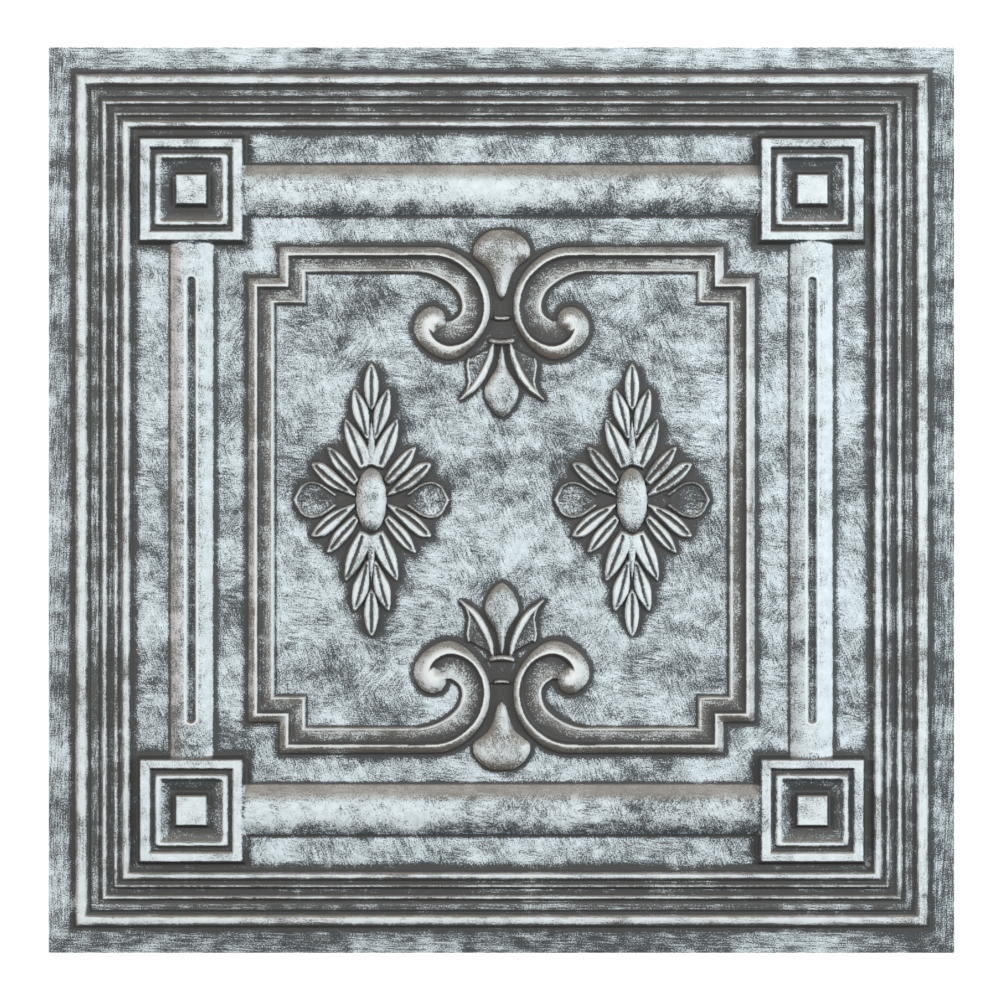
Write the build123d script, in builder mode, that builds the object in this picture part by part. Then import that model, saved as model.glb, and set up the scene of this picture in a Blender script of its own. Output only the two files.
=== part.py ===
"""Embossed ceiling tile, one vacuum-formed sheet with an open hollow back.

Millimetres, +Z up. The origin is the middle of the tile on the plane that the back of the
flange lies on. The tile lies face up. The front is built as a solid relief on a flat slab.
The same relief moved down by the sheet thickness is then taken out of the back, as forming
a sheet over a mould does, so every ridge on the front is a hollow behind.
"""

from build123d import *

import os

# Sheet
tile_side = 600.0
sheet = 0.8

# Border mouldings, from the edge in: where each starts and ends as a half distance from the
# middle, its top, and the height of the channel that follows it
border = (
    (283.5, 272.6, 5.2, 2.4),
    (271.9, 266.6, 3.3, 2.4),
    (265.2, 260.4, 5.2, 3.4),
    (257.2, 253.0, 6.4, 4.6),
    (251.6, 244.8, 7.5, 4.0),
)
bead_wall = 1.4
wall_share = 0.25
bead_shoulder = 2.8
shoulder_share = 0.36
shoulder_drop = 0.7
field_top = border[-1][-1]

# Corner blocks
row = 204.7
block_foot = 37.2
block_top = 10.0
block_lean = 3.8
block_band = 5.6
block_groove_top = 7.0
block_groove = 1.4
block_ring = 4.6
block_ring_edge = 1.1
block_ring_top = 9.0
valley_top = 7.4
valley_bottom = 5.2
boss_half = 9.8
boss_lean = 2.6

# Bars between the blocks
bar_half = 17.2
slotted_bar_half = 14.6
bar_top = 9.4
bar_into_block = 7.0
slot_length = 293.6
slot_width = 4.6
slot_floor = 6.4
slot_lean = 18.0

# Centre frame: the crest's path, its notched corners and the ridge inside it
crest_half = 161.5
notch = 20.6
crest_top = 9.0
band_width = 6.4
band_shoulder = 3.8
band_shoulder_top = 7.4
crest_drop = 2.2
strip_floor = 6.4
ridge_inset = 10.3
ridge_top = 7.6
ridge_lean = 2.0

# Scroll that ends each half of the frame, and the knob that it curls into
scroll_start = 47.5
scroll_outer_radius = 35.7
scroll_bottom_radius = 24.5
scroll_curl_radius = 12.7
ridge_scroll_start = 53.0
ridge_scroll_radius = 27.2
ridge_hook_radius = 5.6
ridge_tail = 6.0
knob_place = (-47.3, 118.0)
knob_radius = 10.6
knob_crown = 5.2
knob_top = 9.8

# Fleur between the scrolls, above the middle
bulb_top = 179.0
bulb_shoulder = (18.2, 168.3)
bulb_side = (19.2, 163.0)
bulb_heel = (16.5, 158.2)
bulb_flank = (8.2, 150.4)
bulb_neck = (4.6, 141.6)
bulb_tip = 131.5
bulb_crown = 10.0
stem_half = 2.8
stem_overlap = 4.0
tie_width = 5.4
tie_lean = 18.0
ties = ((120.6, 5.7), (105.6, 8.4))
tie_top = 8.0
bud_top = 98.0
bud_half = 11.4
bud_middle = 0.58
bud_tip = 54.1
petal_root = (6.0, 102.0)
petal_belly = (12.2, 83.6)
petal_point = (27.1, 66.5)
petal_hollow = (21.9, 79.5)
petal_shoulder = (21.8, 93.6)
fleur_lean = 24.0

# Medallions of leaves and petals, from their own middle: tip, tail and half width of each leaf
medallion = 86.1
top_leaf = ((0, 90.6), (0, 57.0), 4.8)
side_leaves = (
    ((11.4, 73.6), (2.5, 40.0), 5.0),
    ((17.0, 53.6), (4.6, 20.5), 5.6),
    ((29.1, 35.2), (9.9, 11.3), 4.3),
    ((39.3, 24.2), (10.2, 2.8), 4.6),
)
leaf_top = 7.6
leaf_lean = 25.0
leaf_sides = ((0.28, 0.88), (0.66, 0.88))
vein_depth = 1.3
vein_gap = 0.2
vein_half = 0.3
vein_top_half = 1.2
midrib_half = 3.2
midrib_middle = 40.0
midrib_length = 46.0
side_petal_tail = 22.0
side_petal_flank = (30.4, 8.0)
side_petal_end = (47.2, 7.0)
side_petal_widest = (40.1, 11.2)
side_petal_tip = 50.6
side_petal_hollow = (31.0, 44.6)
oval_half_width = 10.3
oval_half_length = 21.6
oval_end_radius = 6.5
oval_top = 9.9

# Sections are closed this far below the surface that they stand on
root = 1.0


def square_ring(half, section):
    """Carry a section round a square with mitred corners.

    The section's points are the distance in from the square's side and the height.
    """
    with BuildPart() as ring:
        with BuildLine() as route:
            Polyline((half, 0), (half, half), (-half, half), (-half, -half), (half, -half), close=True)
        with BuildSketch(Plane(origin=(half, 0, 0), x_dir=(-1, 0, 0), z_dir=(0, 1, 0))):
            with BuildLine():
                Polyline(section, close=True)
            make_face()
        sweep(path=route.wire(), transition=Transition.RIGHT)
    return ring.part


def border_section():
    """The border from the flange in: five beads with eased shoulders and a channel after each."""
    outer = border[0][0]
    points = [(0, sheet)]
    for start, end, top, channel in border:
        foot, far = outer - start, outer - end
        wall = min(bead_wall, (far - foot) * wall_share)
        shoulder = min(bead_shoulder, (far - foot) * shoulder_share)
        if foot > 0:
            points.append((foot, points[-1][1]))
        points += [
            (foot + wall, top - shoulder_drop),
            (foot + shoulder, top),
            (far - shoulder, top),
            (far - wall, top - shoulder_drop),
            (far, channel),
        ]
    rim = points[-1][0] + root
    return points + [(rim, field_top), (rim, sheet)]


with BuildPart() as relief:
    section = border_section()
    add(square_ring(border[0][0], section))
    field_half = border[0][0] - section[-1][0]
    with BuildSketch(Plane.XY.offset(sheet)):
        Rectangle(2 * field_half, 2 * field_half)
    extrude(amount=field_top - sheet)


def block_section():
    """A corner block from its foot in: leaning wall, flat band, groove, ring and valley."""
    band = block_lean + block_band
    groove = band + block_groove
    ring = groove + block_groove
    valley = ring + block_ring
    boss_foot = block_foot - boss_half - boss_lean
    return [
        (0, field_top - root),
        (0, field_top),
        (block_lean, block_top),
        (band, block_top),
        (groove, block_groove_top),
        (ring, block_groove_top),
        (ring + block_ring_edge, block_ring_top),
        (valley - block_ring_edge, block_ring_top),
        (valley, valley_top),
        (boss_foot, valley_bottom),
        (block_foot - boss_half, block_top),
        (block_foot - boss_half, field_top - root),
    ]


with BuildPart() as block:
    add(square_ring(block_foot, block_section()))
    with BuildSketch(Plane.XY.offset(field_top - root)):
        Rectangle(2 * boss_half, 2 * boss_half)
    extrude(amount=block_top - field_top + root)

bar_length = 2 * (row - block_foot + bar_into_block)


def bar(half):
    """A bar along X with a rounded top, its ends inside the walls of two blocks."""
    with BuildPart() as body:
        with BuildSketch(Plane.YZ.offset(-bar_length / 2)):
            with BuildLine():
                base = field_top - root
                ThreePointArc((half, field_top), (0, bar_top), (-half, field_top))
                Polyline((-half, field_top), (-half, base), (half, base), (half, field_top))
            make_face()
        extrude(amount=bar_length)
    return body.part


with BuildPart() as slotted_bar:
    add(bar(slotted_bar_half))
    with BuildSketch(Plane.XY.offset(slot_floor)):
        Rectangle(slot_length, slot_width)
    extrude(amount=bar_top - slot_floor + root, taper=-slot_lean, mode=Mode.SUBTRACT)


def notched_route(half, scroll_x):
    """The lines of the strip's path, from the middle of the left side to where it curls."""
    step = half - notch
    Polyline((-half, 0), (-half, step), (-step, step), (-step, half), (-scroll_x, half))


def crest_route():
    """The crest's path: the notched side and top, then a scroll of three shrinking arcs."""
    notched_route(crest_half, scroll_start)
    turn = JernArc((-scroll_start, crest_half), (1, 0), scroll_outer_radius, -90)
    turn = JernArc(turn @ 1, (0, -1), scroll_bottom_radius, -90)
    return JernArc(turn @ 1, (-1, 0), scroll_curl_radius, -90)


def ridge_route():
    """The inner ridge's path: parallel to the crest, then a shorter hook inside the scroll."""
    ridge_half = crest_half - ridge_inset
    notched_route(ridge_half, ridge_scroll_start)
    turn = JernArc((-ridge_scroll_start, ridge_half), (1, 0), ridge_scroll_radius, -90)
    turn = JernArc(turn @ 1, (0, -1), ridge_hook_radius, -90)
    return Line(turn @ 1, turn @ 1 - (ridge_tail, 0))


def strip_plane(half):
    """The plane that a strip's section is drawn on, X outwards, at the path's start."""
    return Plane(origin=(-half, 0, 0), x_dir=(-1, 0, 0), z_dir=(0, 1, 0))


with BuildPart() as crest:
    with BuildLine() as crest_path:
        crest_route()
    with BuildSketch(strip_plane(crest_half)):
        with BuildLine():
            Polyline((0, crest_top), (-crest_drop, strip_floor), (-crest_drop, field_top - root),
                     (band_width, field_top - root), (band_width, field_top),
                     (band_shoulder, band_shoulder_top), close=True)
        make_face()
    sweep(path=crest_path.wire(), transition=Transition.RIGHT)

with BuildPart() as ridge:
    with BuildLine() as ridge_path:
        ridge_route()
    with BuildSketch(strip_plane(crest_half - ridge_inset)):
        with BuildLine():
            Polyline((0, ridge_top), (-ridge_lean, field_top), (-ridge_lean, field_top - root),
                     (ridge_lean, field_top - root), (ridge_lean, strip_floor), close=True)
        make_face()
    sweep(path=ridge_path.wire(), transition=Transition.RIGHT)

with BuildPart() as knob:
    with BuildSketch(Plane(origin=(*knob_place, 0), x_dir=(1, 0, 0), z_dir=(0, -1, 0))):
        with BuildLine():
            Polyline((0, knob_top), (0, field_top - root), (knob_radius, field_top - root),
                     (knob_radius, field_top), (knob_crown, knob_top), close=True)
        make_face()
    revolve(axis=Axis((*knob_place, 0), (0, 0, 1)))

with BuildPart() as half_strip:
    with BuildSketch(Plane.XY.offset(field_top - root)):
        with BuildLine():
            crest_end = crest_route()
            ridge_end = ridge_route()
            Polyline(crest_end @ 1, knob_place, ridge_end @ 1)
            Line((-crest_half, 0), (-crest_half + ridge_inset, 0))
        make_face()
    extrude(amount=strip_floor - field_top + root)
    add([crest.part, ridge.part, knob.part])


def pointed_outline(tip, tail, half, middle=0.5):
    """A leaf's outline: two arcs that meet in points at the tip and the tail."""
    start, end = Vector(*tail), Vector(*tip)
    along = end - start
    side = Vector(-along.Y, along.X).normalized() * half
    belly = start + along * middle
    ThreePointArc(start, belly - side, end)
    ThreePointArc(end, belly + side, start)


def vein(start, end, low_half, top_half):
    """What is cut out of a leaf's top: four-sided, narrower and shorter at its floor."""
    along = end - start
    side = Vector(-along.Y, along.X).normalized()
    with BuildPart() as cut:
        for height, half, spare in ((leaf_top - vein_depth, low_half, 0.1), (leaf_top, top_half, 0)):
            near, middle, far = (start + along * share for share in (spare, 0.5, 1 - spare))
            with BuildSketch(Plane.XY.offset(height)):
                with BuildLine():
                    Polyline(near, middle - side * half, far, middle + side * half, close=True)
                make_face()
        loft(ruled=True)
    return cut.part


def leaf(tip, tail, half):
    """A pointed leaf of six straight sides with leaning walls and a vein cut down its middle."""
    start, end = Vector(*tail), Vector(*tip)
    along = end - start
    side = Vector(-along.Y, along.X).normalized()
    with BuildPart() as blade:
        with BuildSketch(Plane.XY.offset(field_top - root)):
            with BuildLine():
                right = [start + along * share - side * half * width for share, width in leaf_sides]
                left = [start + along * share + side * half * width for share, width in leaf_sides]
                Polyline([start, *right, end, *left[::-1]], close=True)
            make_face()
        extrude(amount=leaf_top - field_top + root, taper=leaf_lean)
        gap = along * vein_gap
        add(vein(start + gap, end - gap, vein_half, vein_top_half), mode=Mode.SUBTRACT)
    return blade.part


def oval_outline(half_short, half_long, end_radius):
    """An oval of four tangent arcs, its long axis along Y, drawn anticlockwise from the right."""
    end_middle = half_long - end_radius
    spare = half_short - end_radius
    side_middle = (end_middle**2 - spare**2) / (2 * spare)
    reach = (half_short + side_middle) / (spare + side_middle)
    join_x, join_y = side_middle * (reach - 1), end_middle * reach
    ThreePointArc((join_x, -join_y), (half_short, 0), (join_x, join_y))
    ThreePointArc((join_x, join_y), (0, half_long), (-join_x, join_y))
    ThreePointArc((-join_x, join_y), (-half_short, 0), (-join_x, -join_y))
    ThreePointArc((-join_x, -join_y), (0, -half_long), (join_x, -join_y))


with BuildPart() as side_petal:
    with BuildSketch(Plane.XY.offset(field_top - root)):
        with BuildLine():
            for side in (-1, 1):
                shape = (side_petal_flank, side_petal_widest, side_petal_end)
                flank, widest, end = [(x, side * y) for x, y in shape]
                ThreePointArc((side_petal_tail, 0), flank, widest)
                ThreePointArc(widest, end, (side_petal_tip, 0))
        make_face()
    extrude(amount=leaf_top - field_top + root, taper=leaf_lean)
    hollow_start, hollow_end = Vector(side_petal_hollow[0], 0), Vector(side_petal_hollow[1], 0)
    hollow_half = side_petal_widest[1] / 2
    add(vein(hollow_start, hollow_end, hollow_half / 2, hollow_half), mode=Mode.SUBTRACT)

with BuildPart() as half_medallion:
    add([leaf(*measures) for measures in side_leaves])
    add(side_petal.part)
    mirror(about=Plane.XZ)

with BuildPart() as medallion_body:
    add(half_medallion.part)
    mirror(about=Plane.YZ)
    add([leaf(*top_leaf), leaf(*top_leaf).mirror(Plane.XZ)])
    with BuildSketch(Plane.XY.offset(field_top - root)):
        for side in (1, -1):
            with Locations((0, side * midrib_middle)):
                Rectangle(2 * midrib_half, midrib_length)
    extrude(amount=strip_floor - field_top + root, taper=leaf_lean)
    with BuildSketch(Plane.XY.offset(field_top - root)):
        with BuildLine():
            oval_outline(oval_half_width, oval_half_length, oval_end_radius)
        make_face()
    extrude(amount=oval_top - field_top + root, taper=leaf_lean)

with BuildPart() as fleur:
    with BuildSketch(Plane.XY.offset(field_top - root)):
        with BuildLine():
            half_outline = [
                Line((0, bulb_tip), bulb_neck),
                ThreePointArc(bulb_neck, bulb_flank, bulb_heel),
                ThreePointArc(bulb_heel, bulb_side, bulb_shoulder),
            ]
            ThreePointArc(bulb_shoulder, (0, bulb_top), (-bulb_shoulder[0], bulb_shoulder[1]))
            mirror(half_outline, about=Plane.YZ)
        make_face()
    extrude(amount=bulb_crown - field_top + root, taper=fleur_lean)
    with BuildSketch(Plane.XY.offset(field_top - root)):
        with Locations((0, (bulb_neck[1] + bud_top) / 2)):
            Rectangle(2 * stem_half, bulb_neck[1] - bud_top + 2 * stem_overlap)
    extrude(amount=strip_floor - field_top + root, taper=tie_lean)
    with BuildSketch(Plane.XY.offset(field_top - root)):
        for place, half in ties:
            with Locations((0, place)):
                Rectangle(2 * half, tie_width)
    extrude(amount=tie_top - field_top + root, taper=tie_lean)
    with BuildSketch(Plane.XY.offset(field_top - root)):
        with BuildLine():
            pointed_outline((0, bud_tip), (0, bud_top), bud_half, bud_middle)
        make_face()
    extrude(amount=tie_top - field_top + root, taper=fleur_lean)
    with BuildSketch(Plane.XY.offset(field_top - root)):
        with BuildLine():
            ThreePointArc(petal_root, petal_belly, petal_point)
            ThreePointArc(petal_point, petal_hollow, petal_shoulder)
            Line(petal_shoulder, petal_root)
        make_face()
        mirror(about=Plane.YZ)
    extrude(amount=leaf_top - field_top + root, taper=fleur_lean)

with BuildPart() as relief_all:
    add(relief.part)
    with Locations(*[(x * row, y * row) for x in (-1, 1) for y in (-1, 1)]):
        add(block.part)
    with Locations((0, row), (0, -row)):
        add(bar(bar_half))
    with Locations(Location((row, 0, 0), (0, 0, 90)), Location((-row, 0, 0), (0, 0, 90))):
        add(slotted_bar.part)
    left_strip = [half_strip.part, half_strip.part.mirror(Plane.XZ)]
    add(left_strip + [quarter.mirror(Plane.YZ) for quarter in left_strip])
    add([fleur.part, fleur.part.mirror(Plane.XZ)])
    with Locations((medallion, 0), (-medallion, 0)):
        add(medallion_body.part)

with BuildPart() as ceiling_tile:
    with BuildSketch():
        Rectangle(tile_side, tile_side)
    extrude(amount=sheet)
    add(relief_all.part)
    add(relief_all.part.moved(Location((0, 0, -sheet))), mode=Mode.SUBTRACT)

ceiling_tile.part.label = "ceiling_tile"
os.makedirs("parts", exist_ok=True)
export_step(ceiling_tile.part, "parts/ceiling_tile.step")
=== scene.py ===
"""Embossed ceiling tile: the formed sheet's relief, its dry-brushed finish, and the stage."""

import functools
import math

import bpy
import numpy as np
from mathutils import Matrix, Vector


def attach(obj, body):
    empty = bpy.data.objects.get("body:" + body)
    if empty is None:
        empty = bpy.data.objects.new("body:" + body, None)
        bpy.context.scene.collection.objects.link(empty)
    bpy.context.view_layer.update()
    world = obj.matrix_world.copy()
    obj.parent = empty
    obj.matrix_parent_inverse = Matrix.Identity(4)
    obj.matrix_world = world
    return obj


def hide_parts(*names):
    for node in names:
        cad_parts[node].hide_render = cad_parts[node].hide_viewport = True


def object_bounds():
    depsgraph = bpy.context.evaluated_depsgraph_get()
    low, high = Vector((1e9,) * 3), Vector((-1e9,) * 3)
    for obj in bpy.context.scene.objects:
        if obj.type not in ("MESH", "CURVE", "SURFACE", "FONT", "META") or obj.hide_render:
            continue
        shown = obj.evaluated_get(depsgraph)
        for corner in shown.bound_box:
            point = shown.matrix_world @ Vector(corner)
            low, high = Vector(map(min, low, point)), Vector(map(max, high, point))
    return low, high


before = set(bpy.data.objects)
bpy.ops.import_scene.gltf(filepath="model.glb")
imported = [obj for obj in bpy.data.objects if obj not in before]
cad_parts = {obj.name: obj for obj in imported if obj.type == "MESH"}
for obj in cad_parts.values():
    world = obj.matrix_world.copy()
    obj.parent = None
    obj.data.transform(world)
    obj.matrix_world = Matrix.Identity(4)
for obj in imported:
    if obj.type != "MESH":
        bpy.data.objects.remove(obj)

cad_low, cad_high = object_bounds()

bl_info = {
    "name": "Embossed Ceiling Tile",
    "version": (1, 0, 0),
    "blender": (4, 5, 0),
    "location": "3D View > Sidebar > Ceiling Tile",
    "description": "Builds the relief, the dry-brushed paint and the stage of a formed ceiling tile",
    "category": "Add Mesh",
}

# All shapes are worked out in millimetres and made metres when they go into a mesh.
MM = 0.001
NODE = "ceiling_tile"
HALF = (cad_high.x - cad_low.x) / 2 / MM

# Heights above the plane that the flange's back lies on
SHEET = 0.8
FIELD = 4.0

# Plan of the tile, as distances from its middle
BORDER_FOOT = 283.2
BORDER_END = 242.5
ROW = 204.7
BLOCK_PITCH = 0.6
BLOCK_IN = ROW - 69 * BLOCK_PITCH
BLOCK_OUT = ROW + 63 * BLOCK_PITCH
BLOCK_EDGE = 34.2
BLOCK_FOOT = 36.0
BAR_HALF = 17.2
SLOTTED_HALF = 14.6
BAR_PATCH = 36 * BLOCK_PITCH
SLOTTED_PATCH = 32 * BLOCK_PITCH
SLOT_END = 144.0
SLOT_HALF = 2.9
CREST = 161.5
INNER_CREST = CREST - 20.6
BAND = 6.4
RIDGE = 10.2
RIDGE_FOOT = 11.6
CREST_TOP = 9.1
RIDGE_TOP = 7.6
STRIP_OUT = 9.0
STRIP_IN = -15.0
FINE = 0.5
SCROLL_X = 62.0
SCROLL_LOW = 89.0
FLEUR_TOP = ROW - BAR_PATCH
FLEUR_X = 31.8
FLEUR_LOW = 50.0
MEDALLION = 86.1
MEDALLION_X = MEDALLION - FLEUR_X
MEDALLION_Y = 58.0
LEAF_X = MEDALLION - SCROLL_X
LEAF_Y = 94.0

# The tile's middle stands this far right of the picture's middle, so the camera stands left
PHOTO_SHIFT = -1.06

# How far the sheet's surface is rounded where two faces meet
EDGE_BLUR = 0.32

# Touch says how readily the brush leaves paint: 0 on the open field, more on crests and edges,
# and BARE where it doesn't reach. Stroke says how it ran: above SWIRLS along Y, below it along X.
BARE = -0.8
SWIRLS = 0.5

# Widths of the bare margins, the wide one outside the frame and on a slotted bar's right
WIDE_MARGIN = 4.6
THIN_MARGIN = 1.6

# The mirrored copies of a piece
UPRIGHT = ((1, "top"), (-1, "bottom"))
SIDEWAYS = ((1, "right"), (-1, "left"))

# Half of the floor's side in metres, and the strength of the light from all round
FLOOR_HALF = 6.0
ROOM_LIGHT = 0.3


# Curves and distances

def smooth_step(value, low, high):
    """0 below low, 1 above high, and a curve with level ends between them."""
    t = np.clip((value - low) / (high - low), 0.0, 1.0)
    return t * t * (3.0 - 2.0 * t)


def through(points, steps=6):
    """A Catmull-Rom curve: at each point it runs parallel to the line between the neighbours."""
    points = np.asarray(points, float)
    wide = np.vstack([2 * points[0] - points[1], points, 2 * points[-1] - points[-2]])
    a, b, c, d = (wide[i:len(points) - 1 + i, None, :] for i in range(4))
    t = np.linspace(0, 1, steps, endpoint=False)[None, :, None]
    square, cube = 2 * a - 5 * b + 4 * c - d, 3 * b - a - 3 * c + d
    spans = 0.5 * (2 * b + (c - a) * t + square * t**2 + cube * t**3)
    return np.vstack([spans.reshape(-1, 2), points[-1]])


def bell(gap, width):
    """1 on the line and e to the minus square of gap over width beside it."""
    return np.exp(-((gap / width) ** 2))


def way(gap, other_gap):
    """Share of the way between two lines: 0 on the first and 1 on the second."""
    return gap / (gap + other_gap + 1e-6)


def distance(x, y, line):
    """Distance from each point to the nearest span of a line."""
    best = np.inf
    for (ax, ay), (bx, by) in zip(line[:-1], line[1:]):
        ux, uy = bx - ax, by - ay
        t = np.clip(((x - ax) * ux + (y - ay) * uy) / max(ux * ux + uy * uy, 1e-9), 0, 1)
        best = np.minimum(best, (x - ax - t * ux) ** 2 + (y - ay - t * uy) ** 2)
    return np.sqrt(best)


def inside(x, y, outline):
    """True where a ray from the point crosses the closed outline an odd number of times."""
    odd = np.zeros(x.shape, bool)
    for (ax, ay), (bx, by) in zip(outline, np.roll(outline, -1, axis=0)):
        if ay != by:
            odd ^= ((ay > y) != (by > y)) & (x < (bx - ax) * (y - ay) / (by - ay) + ax)
    return odd


def depth(x, y, outline):
    """How far each point lies inside a closed outline, and 0 outside it."""
    closed = np.vstack([outline, outline[:1]])
    return np.where(inside(x, y, outline), distance(x, y, closed), 0.0)


def blurred(z, step, radius=EDGE_BLUR):
    """A Gaussian average along every axis of a grid, step and radius in millimetres, edges carried on."""
    radius = radius / step
    reach = math.ceil(3 * radius)
    weights = np.exp(-0.5 * (np.arange(-reach, reach + 1) / radius) ** 2)
    weights /= weights.sum()
    wide = np.pad(z, reach, mode="edge")
    for axis, count in enumerate(z.shape):
        wide = sum(w * np.take(wide, range(i, i + count), axis=axis) for i, w in enumerate(weights))
    return wide


def rounded_profile(points):
    """A section through points of distance, height and touch, with its corners rounded by a blur."""
    step = 0.05
    places, *values = zip(*points)
    fine = np.arange(places[0], places[-1] + step, step)
    return fine, *(blurred(np.interp(fine, places, value), step) for value in values)


def bead(start, end, foot_start, foot_end, top, touch, wall=0.9, lean=0.0):
    """Points of a rounded bead: steep walls of a given width and an elliptic crown.

    The crown's top lies the share lean of its half width past the middle, and the touch falls
    with the square of the distance from it.
    """
    share = np.linspace(-1, 1, 19)
    middle, half = (start + end) / 2, (end - start) / 2 - wall
    shoulder_start = foot_start + 0.62 * (top - foot_start)
    shoulder_end = foot_end + 0.62 * (top - foot_end)
    base = shoulder_start + (shoulder_end - shoulder_start) * (share + 1) / 2
    off_top = np.where(share < lean, (share - lean) / (1 + lean), (share - lean) / (1 - lean))
    crown = base + (top - base) * np.sqrt(np.clip(1 - off_top**2, 0, 1))
    worn = touch - 0.45 * off_top**2
    return [(start, foot_start, BARE / 2), *zip(middle + half * share, crown, worn), (end, foot_end, BARE)]


# The tile's sections. Distances run inwards from the tile's edge or outwards from a path.

def border_profile():
    """Flange, edge bead, low step, thin bead, third bead, groove and inner bead, edge to middle."""
    return rounded_profile([
        (0, SHEET, 0.0), (1, SHEET, -0.08), (13, SHEET, -0.13), (15.4, SHEET, BARE),
        (HALF - BORDER_FOOT, SHEET, BARE), *bead(17.1, 26.8, SHEET, 2.2, 5.2, 0.3, 1.5, 0.45)[1:],
        (27.8, 2.2, BARE), (28.7, 3.3, -0.38), (32.8, 3.3, -0.26), (33.8, 2.4, BARE),
        *bead(35.0, 39.5, 2.4, 3.2, 5.2, 0.2),
        *bead(43.0, 47.0, 3.2, 4.6, 6.3, 0.06),
        *bead(48.4, 55.2, 4.6, FIELD, 7.5, 0.26, 1.2, 0.2),
        (HALF - BORDER_END - 0.6, FIELD, BARE), (HALF - BORDER_END, FIELD, -0.4),
    ])


def block_profile():
    """Corner block from its middle out: boss, valley, ring, groove, band and leaning wall."""
    return rounded_profile([
        (0, 10.0, 0.3), (8.8, 10.0, 0.32), (9.5, 10.0, 0.4), (9.8, 10.0, 0.1), (10.1, 9.0, BARE),
        (11.2, 5.3, BARE), (12.6, 5.0, BARE), (16.0, 6.1, -0.42), (19.2, 7.2, -0.25),
        *bead(19.6, 24.6, 7.4, 7.0, 9.0, 0.35, 0.8),
        (26.9, 7.0, BARE), (27.6, 9.9, 0.4), (28.7, 9.9, 0.2), (32.2, 9.9, 0.18), (33.0, 9.9, 0.4),
        (33.4, 9.9, -0.2), (34.0, 9.4, BARE), (35.5, FIELD + 0.3, BARE), (36.6, FIELD, BARE),
        (38.0, FIELD, 0), (60.0, FIELD, 0),
    ])


def swell(low, share):
    """The strip's convex rise, from the crest's top at share 0 down to the low side at share 1."""
    return low + (CREST_TOP - low) * (1 - share**1.7) ** 0.75


def strip_height(band, channel, edge_gap, crest_gap, ridge_gap, foot_gap):
    """The frame strip: a convex band up to the crest, a sharp drop, a channel and an inner ridge.

    The band's height follows the share of the way from its outer edge to the crest, so it
    holds where the band widens in the scroll. The channel rises gently to the ridge, whose
    far side leans down to the field.
    """
    floor = 5.9 + 0.8 * way(crest_gap, ridge_gap)
    drop = (CREST_TOP - floor) * np.clip(1 - crest_gap / 2.2, 0, 1)
    hollow = np.maximum(floor + drop, RIDGE_TOP - 0.75 * ridge_gap)
    hollow = np.minimum(hollow, FIELD + 2.2 * foot_gap)
    return np.where(band, swell(FIELD, way(crest_gap, edge_gap)), np.where(channel, hollow, FIELD))


def strip_profile():
    """The strip's section on its straight runs: places from the crest outwards, height and touch."""
    out = np.arange(STRIP_IN, STRIP_OUT + FINE / 2, FINE)
    band, channel = (out >= 0) & (out < BAND), (out < 0) & (out > -RIDGE_FOOT)
    gaps = [np.abs(out - place) for place in (BAND, 0, -RIDGE, -RIDGE_FOOT)]
    return out, *(blurred(section(band, channel, *gaps), FINE) for section in (strip_height, strip_touch))


def strip_touch(band, channel, edge_gap, crest_gap, ridge_gap, foot_gap):
    """Bright on the crest and the inner ridge, thinner on the band, bare in the channel and beside it.

    The bright line is wider where the band is, and the channel's touch rises with the share of
    the way from the crest to the ridge.
    """
    crest_width = 1.5 + 0.8 * np.clip(edge_gap + crest_gap - BAND, 0, 3)
    band_touch = -0.08 + 0.65 * bell(crest_gap, crest_width) + BARE * bell(edge_gap, 0.6)
    floor_touch = np.interp(way(crest_gap, ridge_gap), [0, 0.25, 0.6, 1], [BARE, -0.55, -0.24, 0.05])
    floor_touch = floor_touch + 0.6 * bell(ridge_gap, 0.8) - 0.5 * bell(foot_gap, 0.7)
    margin = np.minimum(beside(edge_gap, WIDE_MARGIN), beside(foot_gap, THIN_MARGIN))
    return np.where(band, band_touch, np.where(channel, floor_touch, margin))


def beside(gap, reach):
    """The bare margin that the brush leaves beside a raised form, fading out over its reach."""
    return BARE * (1 - smooth_step(gap, 0.2, reach)) * (gap >= 0)


def out_of_frame(x, y):
    """How far a place lies outside the notched frame's crest, and less than 0 inside it."""
    return np.maximum(np.maximum(x, y) - CREST, np.minimum(x, y) - INNER_CREST)


def open_touch(x, y):
    """Touch of the open field: the lowest of the margins of blocks, bars, border and strip."""
    past_bar = x - np.sign(x) * ROW - SLOTTED_HALF
    x, y = np.abs(x), np.abs(y)
    square = np.maximum(np.abs(x - ROW), np.abs(y - ROW)) - BLOCK_FOOT
    border = BORDER_END + 1.0 - np.maximum(x, y)
    plain = np.where(x < BLOCK_IN + 8, np.abs(y - ROW) - BAR_HALF, np.inf)
    slotted = np.where(y < BLOCK_IN + 8, np.abs(x - ROW) - SLOTTED_HALF, np.inf)
    out = out_of_frame(x, y)
    strip = np.where(out > 0, beside(out - BAND, WIDE_MARGIN), beside(-out - RIDGE_FOOT, THIN_MARGIN))
    return np.minimum.reduce([
        beside(square, 7.0), beside(border, 5.0), beside(plain, 2.4),
        beside(slotted, np.where(past_bar >= 0, WIDE_MARGIN, THIN_MARGIN)),
        np.where(x > SCROLL_X, strip, 0.0),
    ])


def bar_height(across, half):
    """A bar's rounded top: the cap of a circle over the field."""
    rise = 5.4
    radius = (half * half + rise * rise) / (2 * rise)
    cap = np.sqrt(np.clip(radius**2 - across**2, 0, None)) - (radius - rise)
    return FIELD + np.clip(cap, 0, None)


def bar_touch(across, half):
    """Well covered on top and shoulders, and bare along the bar's foot."""
    gap = half - np.abs(across)
    return np.interp(gap, [0.0, 0.7, 1.6, 5.0, 7.5], [BARE, -0.1, 0.14, 0.14, 0.13])


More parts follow.
